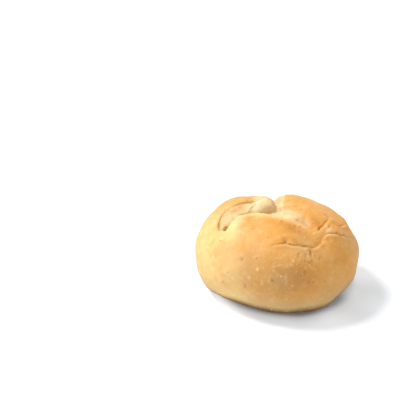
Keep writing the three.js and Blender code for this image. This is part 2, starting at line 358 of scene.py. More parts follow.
tear = Line(TEAR, TEAR_REACH)
saddle = Line(SADDLE, BACK_REACH)
notch = Line(NOTCH, BACK_REACH)
creases = [Line(rows, CREASE_REACH) for rows in CREASES]


def strand(rows):
    """Centres and radii along a strand of the fold."""
    line = Line(rows, FOLD_REACH)
    drop, radius = line.values.T
    return line.points - line.normals * drop[:, None], radius


strands = [strand(rows) for rows in FOLD]


def tear_relief(p):
    """Height of the skin over the dome in the tear, with the lips on both sides of it."""
    height = np.zeros(len(p))
    near, across, along, (half, depth, back_wall) = tear.beside(p)
    walls = soft_step(across + half, FRONT_WALL) * soft_step(half - across, back_wall)
    front = FRONT_LIP_SHARE * bell((across + half + FRONT_LIP_SETBACK) / FRONT_LIP_WIDTH)
    back = BACK_LIP_SHARE * bell((across - half - BACK_LIP_SETBACK) / BACK_LIP_WIDTH)
    height[near] = depth * fade(along, tear.length, TEAR_FADE) * (front + back - walls)
    return height


def back_relief(p):
    """Depth of the saddle and the notch, as a height below zero."""
    height = np.zeros(len(p))
    for line in (saddle, notch):
        near, across, along, (half, depth) = line.beside(p)
        height[near] -= depth * fade(along, line.length, BACK_FADE) * bell(across / half)
    return height


def crease_relief(p):
    """Height of the skin at the creases: a lip on one side, a groove, and lower skin on the other side."""
    height = np.zeros(len(p))
    for line in creases:
        near, across, along, (half, depth) = line.beside(p)
        lip = CREASE_LIP_SHARE * bell((across + CREASE_LIP_SETBACK) / CREASE_LIP_WIDTH)
        drop_width = np.where(across > 0, CREASE_DROP_FAR, CREASE_DROP_NEAR)
        drop = CREASE_DROP_SHARE * bell(across / drop_width)
        wobble = sum(rise * np.sin(along * turns + phase) for rise, turns, phase in CREASE_WOBBLE)
        groove = np.exp(-np.abs((across + wobble) / half) ** CREASE_SHARPNESS)
        height[near] += depth * fade(along, line.length, CREASE_FADE) * (lip - drop - groove)
    return height


def swell_relief(p):
    height = np.zeros(len(p))
    for x, y, z, rise, radius in SWELLS:
        height += rise * bell(np.linalg.norm(p - (x, y, z), axis=1) / radius)
    for x, y, z, depth, radius in DENTS:
        height -= depth * bell(np.linalg.norm((p - (x, y, z)) * DENT_SQUEEZE, axis=1) / radius)
    return height


def wave_relief(p):
    height = np.zeros(len(p))
    for rise, x, y, z, phase in WAVES:
        height += rise * np.sin(p @ (x, y, z) + phase)
    return height


def strand_distance(p, centres, radii):
    """Distance from one strand: a chain of cones round its axis."""
    nearest = np.full(len(p), OFF_STRAND)
    near = near_line(p, centres, FOLD_REACH)
    q = p[near]
    best = nearest[near]
    for a, b, ra, rb in zip(centres, centres[1:], radii, radii[1:]):
        t, square = beside_segment(q, a, b)
        best = np.minimum(best, np.sqrt(square) - ra * (1 - t) - rb * t)
    nearest[near] = best
    return nearest


def fold_distance(p):
    first, second = (strand_distance(p, centres, radii) for centres, radii in strands)
    return blend(first, second, STRAND_BLEND)


def skin(p):
    """Signed distance from the roll's skin, negative inside."""
    torn = dome(p) - wave_relief(p) - tear_relief(p) - back_relief(p)
    body = blend(torn, fold_distance(p), FOLD_BLEND) - crease_relief(p) - swell_relief(p)
    return np.maximum(body, -p[:, 2])


def sample_near_skin(low, counts):
    """The field on a lattice, worked out only in blocks that the skin may pass through."""
    values = np.full(counts, OFF_SKIN)
    edges = [np.arange(0, n + BLOCK, BLOCK) for n in counts]
    spots = np.stack(np.meshgrid(*edges, indexing="ij"), -1)
    rough = skin((low + CELL * spots).reshape(-1, 3)).reshape(spots.shape[:3])
    margin = CELL * BLOCK * BLOCK_DIAGONAL + BLOCK_MARGIN
    wanted = np.zeros(counts, bool)
    for i, j, k in np.ndindex(*(np.array(rough.shape) - 1)):
        corner = rough[i:i + 2, j:j + 2, k:k + 2]
        block = tuple(slice(BLOCK * n, BLOCK * (n + 1) + 1) for n in (i, j, k))
        if np.abs(corner).min() < margin:
            wanted[block] = True
        elif corner.max() < 0:
            values[block] = -OFF_SKIN
    where = np.nonzero(wanted)
    values[where] = skin(low + CELL * np.column_stack(where))
    return values


def surface_net(low, high):
    """One vertex in each lattice cell that the skin crosses, joined by quads across the crossed edges."""
    counts = np.ceil((high - low) / CELL).astype(int) + 1
    values = sample_near_skin(low, counts)
    inside = values < 0
    corners = list(np.ndindex(2, 2, 2))
    windows = [tuple(slice(c, n - 1 + c) for c, n in zip(corner, counts)) for corner in corners]
    filled = sum(inside[window].astype(int) for window in windows)
    cells = np.argwhere((filled > 0) & (filled < len(corners)))
    index = np.full(filled.shape, -1)
    index[tuple(cells.T)] = np.arange(len(cells))
    total = np.zeros((len(cells), 3))
    crossings = np.zeros(len(cells))
    for corner in corners:
        for axis in range(3):
            if corner[axis]:
                continue
            step = np.eye(3, dtype=int)[axis]
            a = values[tuple((cells + corner).T)]
            b = values[tuple((cells + corner + step).T)]
            crossed = (a < 0) != (b < 0)
            share = a[crossed] / (a[crossed] - b[crossed])
            total[crossed] += np.array(corner) + share[:, None] * step
            crossings[crossed] += 1
    vertices = low + CELL * (cells + total / crossings[:, None])
    return vertices, crossing_quads(inside, index, counts)


def crossing_quads(inside, index, counts):
    """A quad round every lattice edge with one end inside, wound to face out."""
    quads = []
    for axis in range(3):
        one, two = np.eye(3, dtype=int)[(axis + 1) % 3], np.eye(3, dtype=int)[(axis + 2) % 3]
        span = [slice(1, n - 1) for n in counts]
        span[axis] = slice(0, counts[axis] - 1)
        after = list(span)
        after[axis] = slice(1, counts[axis])
        start, end = inside[tuple(span)], inside[tuple(after)]
        edges = np.argwhere(start != end) + one + two
        ring = [edges - one - two, edges - two, edges, edges - one]
        quad = np.column_stack([index[tuple(cell.T)] for cell in ring])
        inward = ~start[start != end]
        quad[inward] = quad[inward][:, ::-1]
        quads.append(quad)
    return np.vstack(quads)


def settle(vertices, quads):
    """Evens the quads out along the skin, and puts every vertex on it."""
    ends = np.vstack([quads[:, [i, (i + 1) % 4]] for i in range(4)])
    ends = np.vstack([ends, ends[:, ::-1]])
    neighbours = np.bincount(ends[:, 0], minlength=len(vertices))
    for turn in range(RELAX_ROUNDS + LAST_ROUNDS):
        values = skin(vertices)
        gradient = slope(skin, vertices, values)
        square = np.maximum((gradient ** 2).sum(1), LEAST_SLOPE_SQUARE)
        onto = -gradient * np.clip(values / square, -LARGEST_STEP, LARGEST_STEP)[:, None]
        if turn < RELAX_ROUNDS:
            sums = [np.bincount(ends[:, 0], vertices[ends[:, 1], k], len(vertices)) for k in range(3)]
            pull = np.column_stack(sums) / neighbours[:, None] - vertices
            pull -= gradient * ((pull * gradient).sum(1) / square)[:, None]
            onto += RELAX_SHARE * pull
        vertices = vertices + onto
    vertices[:, 2] = np.maximum(vertices[:, 2], 0)
    return vertices


# Fine relief of the skin, in millimetres. Lumps have columns: size, height
CRUST_LUMPS = [(9.0, 0.26), (4.5, 0.12), (2.2, 0.06)]
DOUGH_LUMPS = [(5.0, 0.22), (2.0, 0.14), (1.1, 0.07)]
OCTAVE_OFFSET = 17.3
# Blisters and pits at random places: how many, their radii and their heights
BLISTERS = 420
BLISTER_RADIUS = (0.45, 1.3)
BLISTER_HEIGHT = (0.06, 0.20)
PITS = 70
PIT_RADIUS = (0.35, 0.7)
PIT_DEPTH = (0.12, 0.35)
SEED = 7
# Their chance rises up to this height; it is never nil, and dough has more pits
SPARSE_HEIGHT, LEAST_CHANCE, PITS_IN_DOUGH = 6, 1e-9, 2
# Puckered crust. Columns: x, y, z, height, radius
PUCKERED = [
    (15.5, -30.5, 37.5, 0.8, 7.5),
    (24.0, -19.0, 42.5, 0.5, 5.5),
]
PUCKER_SIZE = 2.2
PUCKER_SQUEEZE = (1, 1, 0.6)
# The foot stays plain up to a height, and the relief is full after a rise
PLAIN_HEIGHT, PLAIN_RISE = 0.2, 2.5
# How many radii a round bump or a mark reaches, and how many lie between the dabs of a mark
BELL_REACH, DAB_STEP = 2.2, 0.6

# Marks on the skin, a stroke from one place to another.
# Columns: x, y, z, then x, y, z, half width, rise, tone: below 0 dark, above 0 pale
MARKS = [
    # the hole at the left end of the tear, darkened as painted shade, and the brown edge beside it
    (-27.7, -7.5, 42.0, -27.7, -7.5, 42.0, 0.8, -0.5, -0.9),
    (-28.2, -8.5, 41.0, -28.2, -8.5, 41.0, 0.8, -0.5, -0.9),
    (-29.0, -7.0, 42.0, -29.0, -8.5, 41.0, 0.7, 0.0, -0.2),
    (-31.9, -4.0, 42.6, -31.9, -8.6, 40.7, 1.0, 0.0, -0.6),
    # painted shade in the gap between the fold of dough and the front lip
    (-20.4, 0.3, 46.0, -17.1, 0.1, 46.4, 0.9, -0.15, -0.70),
    (-17.1, 0.1, 46.4, -14.2, 0.9, 47.0, 0.9, -0.15, -0.70),
    # a crack, pits and specks in the fold of dough
    (-15.5, 1.3, 47.0, -13.7, 4.4, 47.8, 0.5, -0.30, -1.0),
    (-13.7, 4.4, 47.8, -12.0, 4.7, 48.6, 0.5, -0.20, -0.8),
    (-20.0, 6.0, 46.0, -20.0, 6.0, 46.0, 0.6, -0.20, -0.5),
    (-23.2, 4.1, 45.4, -23.2, 4.1, 45.4, 0.5, -0.25, -0.6),
    (-24.6, 3.4, 45.2, -24.6, 3.4, 45.2, 0.4, -0.20, -0.5),
    (-25.0, 0.9, 45.2, -25.0, 0.9, 45.2, 0.4, -0.20, -0.4),
    (-27.4, 1.3, 44.6, -26.6, 2.5, 44.8, 0.4, -0.10, -0.3),
    (-28.7, 7.0, 45.0, -28.7, 7.0, 45.0, 0.6, -0.20, -0.8),
    (-2.3, 9.2, 49.5, -2.3, 9.2, 49.5, 0.6, -0.30, -0.8),
    (1.8, 5.6, 45.6, 1.8, 5.6, 45.6, 0.5, -0.20, -0.5),
    (11.0, -4.0, 45.4, 11.0, -4.0, 45.4, 0.9, -0.40, -0.6),
    (13.8, -5.5, 45.7, 15.4, -7.6, 45.5, 2.2, 0.0, -0.30),
    # the pale right end of the tear
    (15.0, -6.4, 45.9, 16.8, -9.2, 45.3, 0.8, 0.0, 0.5),
    # the bulge between the creases on the right shoulder, and the crust beside it, both made paler, partly as
    # painted light
    (27.8, -13.2, 43.8, 34.5, -10.0, 40.8, 3.0, 0.90, 0.2),
    (24.8, -14.8, 44.4, 26.9, -12.2, 44.9, 1.8, 0.0, 0.4),
    (26.5, -17.0, 43.4, 32.5, -14.6, 42.0, 1.1, 0.1, 0.4),
    # dark specks and dents beside the tear and the creases
    (-18.6, -7.0, 47.3, -18.6, -7.0, 47.3, 0.5, -0.15, -0.5),
    (3.3, -25.0, 44.4, 3.3, -25.0, 44.4, 0.8, -0.20, -0.8),
    (9.8, -25.2, 44.0, 12.0, -25.2, 43.8, 0.8, 0.0, -0.45),
    (-6.0, -22.8, 45.7, -6.0, -22.8, 45.7, 0.5, -0.15, -0.4),
    (-9.7, -24.2, 44.1, -9.7, -24.2, 44.1, 0.5, -0.15, -0.4),
    (26.7, 0.5, 45.4, 26.7, 0.5, 45.4, 0.7, -0.30, -0.8),
    # dark specks and dents in the front
    (-19.8, -29.1, 36.3, -19.8, -29.1, 36.3, 0.8, -0.20, -0.8),
    (-17.9, -33.4, 22.8, -17.9, -33.6, 21.2, 0.45, -0.15, -0.6),
    (-36.2, -18.2, 31.0, -36.2, -18.2, 31.0, 0.6, -0.15, -0.4),
    (-33.8, -20.6, 32.3, -33.8, -20.6, 32.3, 0.6, -0.15, -0.5),
    (-34.3, -13.0, 38.0, -35.4, -13.4, 36.5, 0.6, -0.15, -0.35),
    (43.3, -8.0, 28.7, 43.3, -8.0, 28.7, 0.6, -0.15, -0.7),
    (13.4, -32.3, 37.4, 13.4, -32.3, 37.4, 0.7, -0.30, -0.5),
    (17.0, -31.5, 36.2, 17.0, -31.5, 36.2, 0.8, -0.30, -0.6),
    (21.4, -29.0, 37.0, 21.4, -29.0, 37.0, 0.7, -0.30, -0.5),
    (10.2, -30.2, 41.1, 9.7, -31.9, 39.1, 0.4, -0.20, -0.5),
    # the pale left end of the front lip, with a painted highlight on it
    (-25.4, -11.6, 45.0, -20.0, -7.2, 47.3, 2.2, 0.0, 1.2),
    # pale dots, strokes and arcs in the front
    (-31.0, -14.7, 40.1, -31.0, -14.7, 40.1, 1.0, 0.0, 0.8),
    (-15.8, -33.7, 27.4, -15.8, -33.7, 27.4, 0.9, 0.15, 0.8),
    (-11.7, -33.2, 33.3, -11.7, -33.6, 31.8, 0.5, 0.15, 0.8),
    (-2.2, -32.5, 39.0, 0.8, -32.5, 39.0, 0.4, 0.12, 0.35),
    (-3.5, -34.8, 35.2, 1.2, -34.9, 36.6, 0.45, 0.15, 0.4),
    (1.2, -34.9, 36.6, 5.0, -35.3, 35.2, 0.45, 0.15, 0.35),
    (7.0, -33.5, 38.6, 7.6, -33.0, 37.4, 0.6, 0.15, 0.8),
    (6.7, -34.8, 36.3, 6.7, -34.8, 36.3, 0.8, 0.15, 0.6),
    (-3.1, -35.6, 33.6, -3.1, -35.6, 33.6, 0.7, 0.10, 0.6),
    (2.8, -37.1, 30.7, 2.8, -37.1, 30.7, 0.6, 0.10, 0.6),
    (18.2, -35.2, 26.7, 18.2, -35.2, 26.7, 0.7, 0.15, 0.8),
    (13.5, -33.7, 34.7, 13.5, -33.7, 34.7, 0.6, 0.10, 0.6),
    (15.5, -33.0, 35.5, 17.5, -33.2, 33.0, 0.45, 0.12, 0.35),
    (17.5, -33.2, 33.0, 19.5, -32.9, 32.0, 0.45, 0.12, 0.35),
    (-9.3, -36.0, 27.5, -9.3, -36.1, 24.7, 0.5, 0.12, 0.45),
    (3.4, -37.8, 28.5, 3.4, -37.9, 26.0, 0.5, 0.10, 0.3),
    (6.9, -38.0, 25.4, 6.9, -38.0, 25.4, 0.6, 0.10, 0.7),
    (-31.0, -27.0, 21.5, -31.0, -27.0, 21.5, 0.9, 0.15, 0.6),
]
# A ring of raised crust in the front, open on one side: its middle, radius, half width, rise and tone
RING_AT = (-3.8, -37.2, 28.6)
RING_RADIUS, RING_WIDTH, RING_RISE, RING_TONE = 1.9, 0.45, 0.10, 0.18
RING_ANGLES = np.radians(np.arange(0, 301, 30))

# Pale dough in the tear: where it ends at the walls and at the tear's ends
TORN_FRONT_SHIFT, TORN_BACK_SHARE, TORN_BACK_WIDTH = 0.7, 0.1, 1.4
TORN_SHORTER, TORN_FADE = 6.5, (2, 6)
# On the saddle, and round the fold
SADDLE_BARE_SHARE, SADDLE_BARE_WIDTH, SADDLE_BARE_FADE = 0.78, 1.6, (0.1, 16)
FOLD_BARE_REACH = 0.8
# Painted shade in the gap between the fold and the front lip: where it is across and along the tear
GAP_SETBACK, GAP_WIDTH, GAP_START, GAP_END, GAP_FADE = 0.9, 0.7, 12.0, 40.0, (5, 6)
# Painted shade at the bottom of a crease
CREASE_DARK_SHIFT, CREASE_DARK_WIDTH, CREASE_DARK_FADE = 0.1, 0.55, (4, 4)

# Browning of the crust, 0 pale, 1 and more brown, with a pale and a golden band along the front lip
BROWNING_BASE = 0.85
LIP_PALE, LIP_PALE_SETBACK, LIP_PALE_WIDTH = 0.8, 1.8, 1.6
LIP_GOLD, LIP_GOLD_SETBACK, LIP_GOLD_WIDTH = 0.30, 6.4, 2.6
LIP_FADE = (8, 10)
# The brown edge of the crust behind the tear, and how much farther in it is near the left end
RIM_BROWN, RIM_SETBACK, RIM_WIDTH, RIM_END, RIM_FADE = 1.0, 0.7, 0.9, 42.0, (4, 18)
LEFT_END_SHIFT, LEFT_END, LEFT_END_FADE = 0.8, 22, 8
# More and less browning; the paler patches on the left flank, at the left end of the front lip and between
# the creases on the right shoulder are partly painted light. Columns: x, y, z, amount, radius
BROWNING_AND_LIGHT = [
    # partly painted light: the paler left flank, low left and upper left
    (-44, -14, 22, -0.78, 22),
    (-24, -34, 10, -0.80, 13),
    (-38, 0, 38, -0.35, 14),
    # partly painted highlight on the left end of the front lip
    (-26, -12, 43, -0.90, 6),
    (-25, -9.5, 46, -0.80, 3.5),
    (-17, -30, 35, -0.30, 9),
    (11, -37, 28, 0.60, 10),
    (9, -17, 47, 0.35, 7),
    (20.5, -9, 46, 0.60, 4.5),
    (-2, -36, 30, 0.45, 12),
    (32, -22, 34, 0.20, 9),
    # partly painted light between the creases on the right shoulder
    (26.5, -13.5, 44, -0.50, 3.5),
    (0, -34, 6, -0.15, 12),
    (2.6, -24, 45, 0.80, 2),
    (8.5, -24.6, 45, 0.70, 2.4),
    (-12, -6.5, 48.5, -0.50, 3.5),
    (-8, -7.5, 48.5, -0.25, 3),
    (5, 7, 47.5, -0.50, 4),
    (5.5, -29, 42.5, -0.30, 6),
    (14.5, -31, 38.5, -0.35, 6.5),
    (-26, -30, 27, -0.30, 8),
    (36, -8, 39, -0.20, 6),
    (30.5, -11, 43, 0.30, 5),
]
# The pale foot of the crust: its colour's share, the heights where it ends, and a place with less of it
LOW_SHARE, LOW_HEIGHTS = 0.8, (8.0, 22.0)
LESS_LOW = [(-27, -29, 12, 0.6, 14)]
# Duller, more tan crust. Columns: x, y, z, amount, radius
TAN = [
    (-3, -37, 27, 0.75, 14),
    (13, -23, 45, 0.50, 5),
    (24, -33, 20, 0.40, 9),
]
# Crust with fine pale lines. Columns: x, y, z, amount, radius
LINED = [(9, -34, 35, 1.0, 13)]
# Bare dough beside the tear. Columns: x, y, z, radius, width of its border
BARE = [
    (-7.0, 14, 46, 5.5, 4.0),
    (-7.0, 20, 45, 5.5, 4.0),
    (-6.0, 27, 43, 5.5, 3.0),
    (0.2, 8, 48, 4.0, 1.2),
    (0.2, 13, 48, 4.2, 1.2),
]
# Toasting of the dough in the tear and painted shade on it, 0 to 1, partly toasted dough and partly painted
# shade. Columns: x, y, z, amount, radius
TOAST_AND_SHADE = [
    (-18, 1, 47, 0.4, 8),
    (-29, -7, 42, 0.35, 5),
    (-28, 3, 46, 0.7, 4.5),
    (-31, -5, 43, 0.6, 2.5),
    (-21, 6.5, 47, 0.7, 4.5),
    (-4, 7.5, 50, 0.35, 3.5),
    (0.2, 11, 49, 0.4, 4),
    (13, -6, 46, 1.0, 6),
    (3.1, 19.5, 43, 0.5, 4),
    (0.6, 24.7, 39.5, 0.5, 5),
]


def octaves(p, sizes):
    """Sum of smooth noise at several sizes, each with its height."""
    total = np.zeros(len(p))
    for number, (size, height) in enumerate(sizes):
        spots = (p / size + OCTAVE_OFFSET * number).tolist()
        total += height * np.array([noise.noise(spot) for spot in spots])
    return total


def left_end_shift(along):
    """How much farther in the crust's brown edge is near the left end of the tear."""
    return LEFT_END_SHIFT * ramp((LEFT_END - along) / LEFT_END_FADE)


def torn_mask(p):
    """1 where pale inner dough shows: in the tear, the saddle behind it and the fold."""
    mask = np.zeros(len(p))
    near, across, along, (half, _, back_wall) = tear.beside(p)
    back_edge = half + TORN_BACK_SHARE * back_wall - left_end_shift(along)
    edge = soft_step(back_edge - across, TORN_BACK_WIDTH)
    edge *= ramp((across + half) / FRONT_WALL + TORN_FRONT_SHIFT)
    mask[near] = edge * fade(along, tear.length - TORN_SHORTER, TORN_FADE)
    near, across, along, (half, _) = saddle.beside(p)
    back = soft_step(SADDLE_BARE_SHARE * half - np.abs(across), SADDLE_BARE_WIDTH)
    mask[near] = np.maximum(mask[near], back * fade(along, saddle.length, SADDLE_BARE_FADE))
    for x, y, z, radius, border in BARE:
        off = np.linalg.norm(p - (x, y, z), axis=1)
        mask = np.maximum(mask, soft_step(radius - off, border))
    return np.maximum(mask, ramp(FOLD_BARE_REACH - fold_distance(p)))


def gap_shade_mask(p):
    """1 in the gap between the fold and the front lip, which is darkened there as painted shade."""
    mask = np.zeros(len(p))
    near, across, along, (half, *_) = tear.beside(p)
    gap = bell((across + half - GAP_SETBACK) / GAP_WIDTH)
    mask[near] = gap * ramp((along - GAP_START) / GAP_FADE[0]) * ramp((GAP_END - along) / GAP_FADE[1])
    return mask


def crease_shade_mask(p):
    """1 at the bottom of a crease, where its colour is darkened as painted shade."""
    mask = np.zeros(len(p))
    for line in creases:
        near, across, along, (_, depth) = line.beside(p)
        dark = np.minimum(depth, 1) * bell((across - CREASE_DARK_SHIFT) / CREASE_DARK_WIDTH)
        mask[near] = np.maximum(mask[near], dark * fade(along, line.length, CREASE_DARK_FADE))
    return mask


def browning_and_light_mask(p):
    """How brown the crust is, with painted light on the left flank and a few lit places: patches, the bands
    along the front lip and the edge behind the tear.
    """
    mask = BROWNING_BASE + patches(p, BROWNING_AND_LIGHT)
    near, across, along, (half, *_) = tear.beside(p)
    ends = fade(along, tear.length, LIP_FADE)
    pale = LIP_PALE * bell((across + half + LIP_PALE_SETBACK) / LIP_PALE_WIDTH)
    gold = LIP_GOLD * bell((across + half + LIP_GOLD_SETBACK) / LIP_GOLD_WIDTH)
    off = across - half - RIM_SETBACK + left_end_shift(along)
    rim = RIM_BROWN * bell(off / RIM_WIDTH) * ramp(along / RIM_FADE[0])
    mask[near] += ends * (gold - pale) + rim * ramp((RIM_END - along) / RIM_FADE[1])
    return mask


def patches(p, rows):
    """Sum of soft round patches. Columns of the rows: x, y, z, amount, radius"""
    mask = np.zeros(len(p))
    for x, y, z, amount, radius in rows:
        mask += amount * bell(np.linalg.norm(p - (x, y, z), axis=1) / radius)
    return mask


def low_mask(p):
    """The share of the foot's colour."""
    low, high = LOW_HEIGHTS
    return LOW_SHARE * ramp((high - p[:, 2]) / (high - low)) * (1 - patches(p, LESS_LOW))


def vertex_normals(vertices, quads):
    first, second = (vertices[quads[:, i + 2]] - vertices[quads[:, i]] for i in (0, 1))
    flat = np.cross(first, second)
    total = np.zeros_like(vertices)
    for i in range(4):
        for k in range(3):
            total[:, k] += np.bincount(quads[:, i], flat[:, k], len(vertices))
    return total / np.linalg.norm(total, axis=1)[:, None]


def scatter(tree, vertices, chances, count, radii, heights, draw):
    """Small round bumps at random places: the skin's height, and how much of a bump is at each vertex."""
    height = np.zeros(len(vertices))
    cover = np.zeros(len(vertices))
    places = draw.choice(len(vertices), count, replace=False, p=chances / chances.sum())
    for place in places:
        radius = draw.uniform(*radii)
        rise = draw.uniform(*heights)
        for _, i, distance in tree.find_range(vertices[place].tolist(), BELL_REACH * radius):
            amount = bell(distance / radius)
            height[i] += rise * amount
            cover[i] = max(cover[i], amount)
    return height, cover


def ring_point(angle):
    x, y, z = RING_AT
    return x + RING_RADIUS * math.cos(angle), y, z + RING_RADIUS * math.sin(angle)


def add_marks(tree, vertices, masks):
    """The height of the skin on the marks. Adds how pale and how dark they are to the masks."""
    height = np.zeros(len(vertices))
    tones = {1: np.zeros(len(vertices)), -1: np.zeros(len(vertices))}
    ring = [(*ring_point(a), *ring_point(b), RING_WIDTH, RING_RISE, RING_TONE)
            for a, b in zip(RING_ANGLES, RING_ANGLES[1:])]
    for *ends, radius, rise, tone in MARKS + ring:
        start, end = np.array(ends[:3]), np.array(ends[3:])
        cover = {}
        dabs = 1 + math.ceil(math.dist(start, end) / (DAB_STEP * radius))
        for share in np.linspace(0, 1, dabs):
            place, _, _ = tree.find((start + share * (end - start)).tolist())
            for _, i, distance in tree.find_range(place, BELL_REACH * radius):
                cover[i] = max(cover.get(i, 0), bell(distance / radius))
        tones_here = tones[1 if tone > 0 else -1]
        for i, amount in cover.items():
            height[i] += rise * amount
            tones_here[i] = max(tones_here[i], abs(tone) * amount)
    masks["pale"], masks["dark"] = tones[1], tones[-1]
    return height


def fine_relief(vertices, quads, masks):
    """Moves the vertices out and in by the lumps, blisters, pits and puckers of the crust and the dough."""
    normals = vertex_normals(vertices, quads)
    tree = kdtree.KDTree(len(vertices))
    for i, vertex in enumerate(vertices.tolist()):
        tree.insert(vertex, i)
    tree.balance()
    draw = np.random.default_rng(SEED)
    torn = masks["torn"]
    crust_chance = (1 - torn) * ramp(vertices[:, 2] / SPARSE_HEIGHT) + LEAST_CHANCE
    blisters, masks["blister"] = scatter(
        tree, vertices, crust_chance, BLISTERS, BLISTER_RADIUS, BLISTER_HEIGHT, draw)
    pits, masks["pit"] = scatter(
        tree, vertices, crust_chance + PITS_IN_DOUGH * torn, PITS, PIT_RADIUS, PIT_DEPTH, draw)
    puckers = np.abs(octaves(vertices * PUCKER_SQUEEZE, [(PUCKER_SIZE, 1.0)]))
    crust = octaves(vertices, CRUST_LUMPS) + blisters - puckers * patches(vertices, PUCKERED)
    dough = octaves(vertices, DOUGH_LUMPS)
    height = crust * (1 - torn) + dough * torn - pits + add_marks(tree, vertices, masks)
    height *= ramp((vertices[:, 2] - PLAIN_HEIGHT) / PLAIN_RISE)
    moved = vertices + normals * height[:, None]
    moved[:, 2] = np.maximum(moved[:, 2], 0)
    return moved


def roll_mesh(cad_middle):
    """The roll's skin as a mesh in metres with masks as attributes, and its move to the CAD's middle."""
    low = np.array([-LENGTH / 2, -WIDTH / 2, 0]) - LOW_ROOM
    high = np.array([LENGTH / 2, WIDTH / 2, WAIST_HEIGHT + CROWN_HEIGHT]) + HIGH_ROOM
    vertices, quads = surface_net(low, high)
    vertices = settle(vertices, quads)
    masks = {
        "torn": torn_mask(vertices),
        "gap": gap_shade_mask(vertices),
        "crease": crease_shade_mask(vertices),
        "browning": browning_and_light_mask(vertices),
        "toast_and_shade": patches(vertices, TOAST_AND_SHADE),
        "tan": patches(vertices, TAN),
        "lined": patches(vertices, LINED),
        "low": low_mask(vertices),
        "height": vertices[:, 2].copy(),
    }
    shift = cad_middle / MM - (vertices.min(0) + vertices.max(0)) / 2
    shift[2] = 0
    vertices = (fine_relief(vertices, quads, masks) + shift) * MM
    mesh = bpy.data.meshes.new("roll_crust")
    mesh.vertices.add(len(vertices))
    mesh.vertices.foreach_set("co", vertices.ravel())
    mesh.loops.add(quads.size)
    mesh.loops.foreach_set("vertex_index", quads.ravel())
    mesh.polygons.add(len(quads))
    mesh.polygons.foreach_set("loop_start", np.arange(len(quads)) * 4)
    mesh.polygons.foreach_set("use_smooth", np.ones(len(quads), bool))
    mesh.update(calc_edges=True)
    for name, values in masks.items():
        mesh.attributes.new(name, "FLOAT", "POINT").data.foreach_set("value", values)
    return mesh, shift * MM


class Nodes:
    """Shorthand for building a material's nodes."""

    def __init__(self, name):
        self.material = bpy.data.materials.new(name)
        self.material.use_nodes = True
        self.tree = self.material.node_tree
        self.shader = self.tree.nodes["Principled BSDF"]
        self.place = self.add("ShaderNodeTexCoord").outputs["Object"]

    def add(self, kind, **settings):
        node = self.tree.nodes.new(kind)
        for name, value in settings.items():
            setattr(node, name, value)
        return node

    def join(self, node, **sockets):
        """Sets or links the node's inputs: by name, with _ for a space, or by number, as i0."""
        for name, value in sockets.items():
            socket = node.inputs[int(name[1:])] if name[1:].isdigit() else node.inputs[name.replace("_", " ")]
            if isinstance(value, bpy.types.NodeSocket):
                self.tree.links.new(value, socket)
            else:
                socket.default_value = value
        return node

    def mask(self, name):
        return self.add("ShaderNodeAttribute", attribute_name=name).outputs["Fac"]

    def noise(self, size_mm, detail=3.0, roughness=0.55):
        node = self.join(self.add("ShaderNodeTexNoise"), Vector=self.place, Scale=1 / (size_mm * MM))
        return self.join(node, Detail=detail, Roughness=roughness).outputs["Fac"]

    def math(self, operation, a, b=0.0, clamp=False):
        node = self.add("ShaderNodeMath", operation=operation, use_clamp=clamp)
        return self.join(node, i0=a, i1=b).outputs[0]

    def span(self, value, low, high, to_low=0.0, to_high=1.0, kind="SMOOTHSTEP"):
        node = self.add("ShaderNodeMapRange", interpolation_type=kind)
        self.join(node, Value=value, From_Min=low, From_Max=high, To_Min=to_low, To_Max=to_high)
        return node.outputs["Result"]

    def mix(self, share, a, b):
        node = self.add("ShaderNodeMix", data_type="RGBA")
        return self.join(node, Factor=share, i6=a, i7=b).outputs[2]


def linear(red, green, blue):
    """A colour given as 0 to 255 values, as Blender's linear colour."""
    def channel(value):
        v = value / 255
        return v / 12.92 if v <= 0.04045 else ((v + 0.055) / 1.055) ** 2.4
    return (channel(red), channel(green), channel(blue), 1)


PALE_CRUST = linear(219, 183, 119)
GOLDEN_CRUST = linear(209, 161, 103)
ORANGE_CRUST = linear(207, 146, 68)
BROWN_CRUST = linear(182, 125, 60)
TAN_CRUST = linear(184, 142, 88)
LOW_CRUST = linear(180, 157, 110)
BASE_BROWN_AND_SHADE = linear(96, 58, 12)
DOUGH = linear(222, 194, 149)
DOUGH_TOASTED_AND_SHADED = linear(198, 154, 102)
CREASE_SHADE = linear(150, 92, 36)
SPECK_PALE = linear(244, 216, 164)
SPECK_DARK = linear(130, 84, 40)
MARK_DARK = linear(132, 96, 48)

# Noise that varies the crust and the dough: its size in millimetres, its useful span, and what it does
BLOTCH_SIZE, MOTTLE_SIZE = 14, 4
NOISE_SPAN = (0.3, 0.7)
BLOTCH_BROWNING, MOTTLE_BROWNING = 0.12, 0.11
MOTTLE_TOAST = (-0.15, 0.25)
MOTTLE_ROUGHNESS, DOUGH_ROUGHER = (0.56, 0.68), 0.18
# From pale to brown crust. Columns: browning where the change begins and ends, colour
BROWNING_COLOURS = [
    (0.0, 0.5, GOLDEN_CRUST),
    (0.5, 1.0, ORANGE_CRUST),
    (1.0, 1.6, BROWN_CRUST),
]
# The dark band at the base, partly browned bottom crust and partly painted contact shade: the heights where
# it fades out, and its share below them
BASE_HEIGHTS, BASE_SHARE = (5.5, 12.0), 0.95
# Dots. Columns: size of a cell, radius, share of the cells that have one. The core is the solid part
PALE_DOTS = [(6.2, 0.85, 0.34), (3.7, 0.50, 0.34)]
DARK_DOTS = (8.0, 0.60, 0.26)
DOT_CORE = 0.5
# Thin lines. Columns: size of their bends, width, size of the places that have them
WRINKLES = [(7.0, 0.030, 6), (4.0, 0.040, 5)]
FINE_WRINKLES = (2.4, 0.05, 3.5)
# Where in the noise those places begin and are full, and how strong the lines are
WRINKLE_PLACES = (0.46, 0.58)
WRINKLE_SHARE, FINE_WRINKLE_SHARE = 0.24, 0.45
